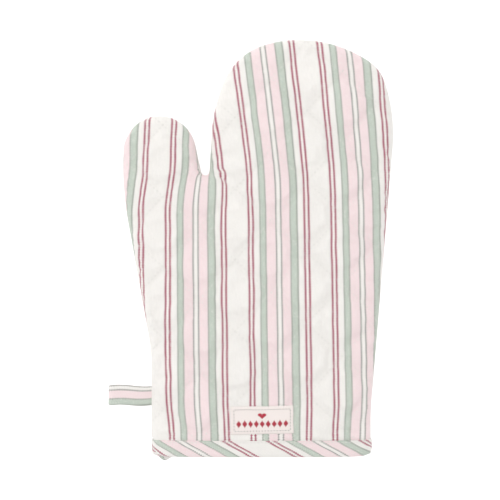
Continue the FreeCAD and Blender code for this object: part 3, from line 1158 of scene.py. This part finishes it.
class BindCuff(bpy.types.Operator):
    """Binds the cuff with striped tape cut on the bias, and stitches it down"""

    bl_idname = "mitt.binding"
    bl_label = "Cuff binding"

    # The tape's section where it wraps the edge: how far each point stands off the panel, and its height.
    OUTSIDE = [(0.25, 13.6), (0.75, 13.45), (0.95, 12.7), (0.98, 9.5), (0.95, 6.0), (0.85, 3.4), (0.45, 1.6),
               (-0.5, 0.5), (-1.9, 0.05), (-3.3, 0.4), (-4.4, 1.5), (-5.0, 3.4), (-5.1, 7.0), (-5.05, 11.4),
               (-4.75, 12.0)]
    INSIDE = [(-4.35, 11.6), (-4.3, 4.0), (-3.7, 2.0), (-1.9, 1.1), (-0.2, 2.0), (0.05, 4.0), (0.1, 13.2)]

    # The bias: how far over the stripes a mm along the tape and a mm down it go, where over them the tape
    # starts, and how much further it has turned over on the underside at its left end.
    ALONG, DOWN, START, TURNED = 0.61, 0.918, 52.107, 10.5

    def execute(self, context):
        places, ways, travel = self.cuff_line(1.6)
        section = np.array(self.OUTSIDE + self.INSIDE)
        down = travelled(section)
        outer = len(self.OUTSIDE)
        rising = slice(outer - 6, outer - 1)
        down[outer:] = np.interp(section[outer:, 1], section[rising, 1], down[rising])
        rings, cloth = [], []
        for place, way, side in zip(places, ways, travel):
            x, front = place[0], float(smooth((place[1] - SEAM_LEVEL) / 6.0))
            droop = 3.4 * hump(x, CUFF_LEFT + 9.0, 4.6) * (1 - front)
            rise = float(hem_rise(x, front)) - droop
            ring = []
            for (off, height), run in zip(section, down):
                low = float(smooth((12.0 - height) / 9.0))
                ring.append((x + way[0] * off, HEM + height + rise * low, place[1] + way[1] * off))
                fall = 0.6 - run
                under = float(smooth((6.0 - place[1]) / 3.0)) * (side < 0)
                across = self.START + self.TURNED * under + self.ALONG * side + self.DOWN * fall
                cloth.append((across, self.DOWN * side - self.ALONG * fall, 0))
            rings.append(np.array(ring))
        points, faces = swept(rings)
        piece = made_piece("cuff_binding_tape", points, faces, np.array(cloth))
        finish(piece, striped_cotton())
        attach(piece, "hand")
        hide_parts("cuff_binding")
        (travel[-1] - travel[0]) * MM
        self.stitch(places, ways)
        return {"FINISHED"}

    def cuff_line(self, step):
        """Points round the cuff across the mitt, the way out at each and how much tape has gone round."""
        radius = sizes().rim_round / MM
        fine, _ = walk_outline(0.5)
        left, right = CUFF_LEFT + BINDING_INSET, fine[-1][0]
        turns = np.radians(np.linspace(0, 90, 24))
        rim = radius * (1 - np.cos(turns))
        middle = np.linspace(left + radius, right - radius, 160)[1:-1]
        xs = np.concatenate([left + rim, middle, (right - rim)[::-1]])
        rise = lift(np.minimum(xs - left, right - xs)) - BINDING_STEP
        rise[[0, -1]] = 0
        front = np.column_stack([xs, SEAM_LEVEL + rise])
        low = BACK_LOW + BACK_LIFT
        back = np.column_stack([xs, low + soft_ramp(SEAM_LEVEL - low - rise * BACK_SHARE, BACK_BEND)])[::-1]
        line = np.concatenate([front, back[1:]])
        travel = travelled(line)
        even = np.linspace(0, travel[-1] - 0.15, round(travel[-1] / step))
        line = sampled(even, travel, line)
        for _ in range(3):
            line[1:-1] = line[1:-1] / 2 + (line[:-2] + line[2:]) / 4
        ways = np.gradient(line, axis=0)
        ways = unit(np.column_stack([-ways[:, 1], ways[:, 0]]))
        wrapped = radius * (math.pi / 2 - 1)
        return line, ways, even + left - wrapped

    def stitch(self, places, ways):
        """The row of stitches that holds the tape down, just inside its upper edge."""
        inside, pitch, length, raise_by = 1.3, 2.6, 1.7, 0.95
        line = np.column_stack([places[:, 0], np.full(len(places), BINDING_EDGE - inside), places[:, 1]])
        ups = np.column_stack([ways[:, 0], np.zeros(len(ways)), ways[:, 1]])
        travel = travelled(line)
        firsts = np.arange(1.0, travel[-1] - 3.0, pitch)
        raised = unit(sampled(firsts + 0.8, travel, ups))
        starts = sampled(firsts, travel, line) + raised * raise_by
        ends = sampled(firsts + length, travel, line) + raised * raise_by
        piece = threads("binding_stitching_thread", starts, ends, raised, SEAM_THREAD, thread_finish())
        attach(piece, "hand")
        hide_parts("binding_stitching")


class SewLabel(bpy.types.Operator):
    """Sews the woven label to the front of the cuff, with a plain embroidered motif"""

    bl_idname = "mitt.label"
    bl_label = "Label"

    def execute(self, context):
        self.middle = LABEL_BOX.mean(axis=0)[:2]
        self.across = np.array([math.cos(LABEL_TURN), math.sin(LABEL_TURN)])
        self.up = np.array([-self.across[1], self.across[0]])
        wide, high = LABEL_WIDE / 2, LABEL_HIGH / 2
        gap, edge_share, edge_round = 0.12, 0.35, 0.9
        columns, rows = 46, 22
        grid = np.array([
            (-wide + 2 * wide * column / columns, -high + 2 * high * row / rows)
            for row in range(rows + 1) for column in range(columns + 1)
        ])
        base, ups = surface("front").over(self.on_mitt(grid), gap)
        edge = np.minimum(wide - np.abs(grid[:, 0]), high - np.abs(grid[:, 1]))
        thick = LABEL_THICK * (edge_share + (1 - edge_share) * smooth(edge / edge_round))
        top = base + ups * thick[:, None]
        triangles = []
        for row in range(rows):
            for column in range(columns):
                corner = row * (columns + 1) + column
                above = corner + columns + 1
                triangles += [(corner, corner + 1, above + 1), (corner, above + 1, above)]
        points, faces = slab(top, base, np.array(triangles))
        cloth = np.tile(np.column_stack([grid, np.zeros(len(grid))]), (2, 1))
        piece = made_piece("label_twill_patch", points, faces, cloth)
        finish(piece, label_twill())
        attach(piece, "hand")
        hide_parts("label")
        self.stitch(wide - LABEL_INSET, high - LABEL_INSET)
        self.embroider()
        return {"FINISHED"}

    def on_mitt(self, places):
        """Plan points of places on the label, measured from its middle."""
        return self.middle + places[:, :1] * self.across + places[:, 1:] * self.up

    def sew(self, name, starts, ends, radius, material, sink):
        """Stitches on top of the label between places on it."""
        raised = LABEL_THICK + 0.2
        first, ups = surface("front").over(self.on_mitt(np.array(starts)), raised)
        last, _ = surface("front").over(self.on_mitt(np.array(ends)), raised)
        piece = threads(name, first, last, ups, radius, material, sink)
        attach(piece, "hand")
        return piece

    def stitch(self, wide, high):
        """The row of stitches round the label."""
        pitch, length = 2.1, 0.75
        starts, ends = [], []
        corners = [(-wide, -high), (wide, -high), (wide, high), (-wide, high), (-wide, -high)]
        for first, second in zip(np.array(corners), np.array(corners[1:])):
            run = np.linalg.norm(second - first)
            way = (second - first) / run
            count = round(run / pitch)
            for number in range(count):
                start = first + way * (run * (number + 0.25) / count)
                starts.append(start)
                ends.append(start + way * length)
        piece = self.sew("label_stitching_thread", starts, ends, 0.3,
                         plain_cloth("label_thread", "label_thread"), 0.2)
        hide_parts("label_stitching")

    def embroider(self):
        """A small heart over a row of lozenges, all in upright satin stitches."""
        starts, ends = [], []
        for number in range(-7, 8):
            share = number / 7
            x, low = 3.0 * share, 1.1
            starts.append((x, low + 2.6 * abs(share)))
            ends.append((x, low + 2.7 + 1.3 * math.sqrt(max(0, 1 - (2 * abs(share) - 1) ** 2))))
        count, pitch, half_wide, half_tall = 9, 4.2, 1.3, 2.3
        for number in range(count):
            middle = (number - (count - 1) / 2) * pitch
            for row in range(-2, 3):
                tall = half_tall * (1.15 - abs(row) / 2.6)
                x = middle + half_wide * row / 2.2
                starts.append((x, -2.7 - tall))
                ends.append((x, -2.7 + tall))
        self.sew("label_motif_thread", starts, ends, 0.31, plain_cloth("motif_thread", "motif"), 0.1)


class SewLoop(bpy.types.Operator):
    """Folds the striped tape of the hanging loop and sets it in the side seam"""

    bl_idname = "mitt.loop"
    bl_label = "Hanging loop"

    # The folded tape's thickness, half its gap at the root, how far its end stops short of the frame's
    # box, and how far its root goes into the seam.
    TAPE, ROOT_GAP, END_INSET, IN_SEAM = 1.5, 0.95, 0.9, 1.9

    def execute(self, context):
        low, high = LOOP_BOX
        line = self.line()
        ways = np.gradient(line, axis=0)
        ups = unit(np.column_stack([ways[:, 1], -ways[:, 0]]))
        travel = travelled(line)
        wide = high[1] - low[1]
        section = self.section(wide, self.TAPE)
        rings, cloth = [], []
        for (x, z), (up_x, up_z), run in zip(line, ups, travel):
            share = run / travel[-1]
            under = float(smooth((share - 0.35) / 0.4))
            slip = 0.5 - 0.9 * under + 0.5 * math.sin((x - low[0]) / 5.0 - 0.4)
            near = float(smooth((x - low[0] - 14.0) / 20.0))
            narrow = 1 - 0.09 * hump(x, low[0], 1.8) - 0.10 * near
            ring = []
            for across, off in section:
                ring.append((x + up_x * off, (low[1] + high[1]) / 2 + across * narrow + slip, z + up_z * off))
                cloth.append((20.1 + 1.09 * (wide / 2 - across), run, 0))
            rings.append(np.array(ring))
        points, faces = swept(rings)
        piece = made_piece("hanging_loop_tape", points, faces, np.array(cloth))
        finish(piece, striped_cotton())
        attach(piece, "hanging_loop")
        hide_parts("hanging_loop")
        return {"FINISHED"}

    def line(self):
        """The middle of the tape from the seam out, round the end and back, as X and Z."""
        low, high = LOOP_BOX
        bulge = (high[2] - low[2] - self.TAPE) / 2
        reach = low[0] + self.TAPE / 2 + bulge + self.END_INSET
        root = high[0] + self.IN_SEAM
        middle = (low[2] + high[2]) / 2
        upper = []
        for share in np.linspace(0, 1, 26):
            rise = self.ROOT_GAP + (bulge - self.ROOT_GAP) * float(smooth(share * 1.15))
            upper.append((root + (reach - root) * share, middle + rise))
        bend = [
            (reach - bulge * math.sin(turn), middle + bulge * math.cos(turn))
            for turn in np.linspace(0, math.pi, 17)[1:-1]
        ]
        lower = [(x, 2 * middle - z) for x, z in reversed(upper)]
        return np.array(upper + bend + lower)

    def section(self, wide, tape):
        """The folded tape's section: rounded at both edges, a little hollow along the middle."""
        points = []
        half = wide / 2 - tape / 2
        for side in (1, -1):
            for across in np.linspace(-side * half, side * half, 9):
                hollow = 0.12 * math.cos(math.pi * across / wide)
                points.append((across, side * (tape / 2 - hollow)))
            for turn in (60, 90, 120):
                angle = math.radians(turn)
                points.append((side * (half + tape / 2 * math.sin(angle)), side * tape / 2 * math.cos(angle)))
        return points


class SetStage(bpy.types.Operator):
    """Sets the floor, the soft lights and the camera"""

    bl_idname = "mitt.stage"
    bl_label = "Stage"

    def execute(self, context):
        scene = context.scene
        mesh = bpy.data.meshes.new("floor")
        reach = 6.0
        corners = [(-reach, -reach, 0), (reach, -reach, 0), (reach, reach, 0), (-reach, reach, 0)]
        mesh.from_pydata(corners, [], [(0, 1, 2, 3)])
        floor = bpy.data.objects.new("floor", mesh)
        scene.collection.objects.link(floor)
        recipe = Recipe("floor")
        shader = recipe.node("BsdfPrincipled", None, {
            "Base Color": (0.5, 0.5, 0.5, 1), "Roughness": 0.9,
            "Emission Color": (1, 1, 1, 1), "Emission Strength": 0.78,
        })
        recipe.node("OutputMaterial", None, {"Surface": Shade(recipe, shader.outputs[0])})
        mesh.materials.append(recipe.material)
        world = bpy.data.worlds.new("studio")
        world.use_nodes = True
        world.node_tree.nodes["Background"].inputs["Color"].default_value = (1, 1, 1, 1)
        world.node_tree.nodes["Background"].inputs["Strength"].default_value = 0.91
        scene.world = world
        for name, place, size, power in (
            ("key", (-0.9, 0.9, 1.5), 0.9, 12.0),
            ("fill", (1.1, -0.6, 1.6), 1.4, 2.5),
        ):
            light = bpy.data.lights.new(name, "AREA")
            light.size, light.energy = size, power
            lamp = bpy.data.objects.new(name, light)
            lamp.location = place
            lamp.rotation_euler = (-Vector(place)).to_track_quat("-Z", "Y").to_euler()
            scene.collection.objects.link(lamp)
        lens = bpy.data.cameras.new("camera")
        lens.lens, lens.sensor_width = 100, 36
        view_width = 0.3589
        camera = bpy.data.objects.new("camera", lens)
        height = SEAM_LEVEL * MM + view_width * lens.lens / lens.sensor_width
        camera.location = (-0.00024, -0.00108, height)  # over the middle of the mitt as it lies
        lens.clip_start = 0.05
        scene.collection.objects.link(camera)
        scene.camera = camera
        scene.view_settings.view_transform = "Standard"
        return {"FINISHED"}


class MITT_PT_pieces(bpy.types.Panel):
    """Lists the mitt's pieces in the sidebar"""

    bl_label = "Oven Mitt"
    bl_space_type = "VIEW_3D"
    bl_region_type = "UI"
    bl_category = "Oven Mitt"

    def draw(self, context):
        for operator in OPERATORS:
            self.layout.operator(operator.bl_idname)


OPERATORS = (SewPanels, StitchQuilting, CloseSeam, BindCuff, SewLabel, SewLoop, SetStage)
CLASSES = (MittSizes, MittColours, *OPERATORS, MITT_PT_pieces)


def register():
    """Registers the classes and puts the settings on the scene."""
    for made in CLASSES:
        bpy.utils.register_class(made)
    bpy.types.Scene.mitt_sizes = bpy.props.PointerProperty(type=MittSizes)
    bpy.types.Scene.mitt_colours = bpy.props.PointerProperty(type=MittColours)


def unregister():
    """Takes the settings and the classes away again."""
    del bpy.types.Scene.mitt_sizes
    del bpy.types.Scene.mitt_colours
    for made in reversed(CLASSES):
        bpy.utils.unregister_class(made)


def main():
    """Makes every piece in order."""
    register()
    for operator in OPERATORS:
        family, name = operator.bl_idname.split(".")
        getattr(getattr(bpy.ops, family), name)()


if __name__ == "__main__":
    main()
